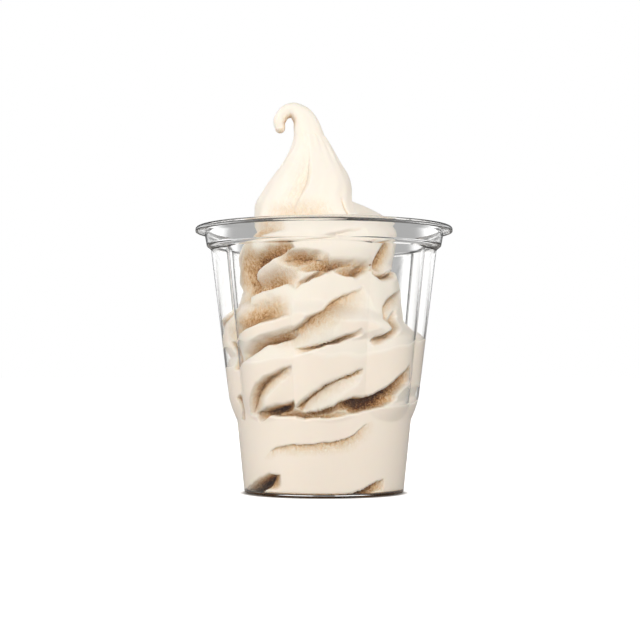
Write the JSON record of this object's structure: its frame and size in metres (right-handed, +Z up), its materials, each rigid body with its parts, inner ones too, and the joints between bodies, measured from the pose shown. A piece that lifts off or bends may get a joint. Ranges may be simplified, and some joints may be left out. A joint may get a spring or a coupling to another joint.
{
  "type": "soft serve cup",
  "caption": "Clear lobed dessert cup with a rolled rim, filled with a piped swirl of cream-coloured soft serve whose curled tip stands above the rim.",
  "frame": {"origin": "centre of the cup's foot, on the surface it stands on", "axes": "+Z up along the cup's axis, the side shown in the picture faces -Y"},
  "size_m": [0.092, 0.092, 0.1395],
  "materials": {
    "clear_plastic": "clear, glossy",
    "soft_serve": "creamy, satin"
  },
  "bodies": {
    "root": {"cup": "clear_plastic", "soft_serve": "soft_serve"}
  },
  "joints": []
}
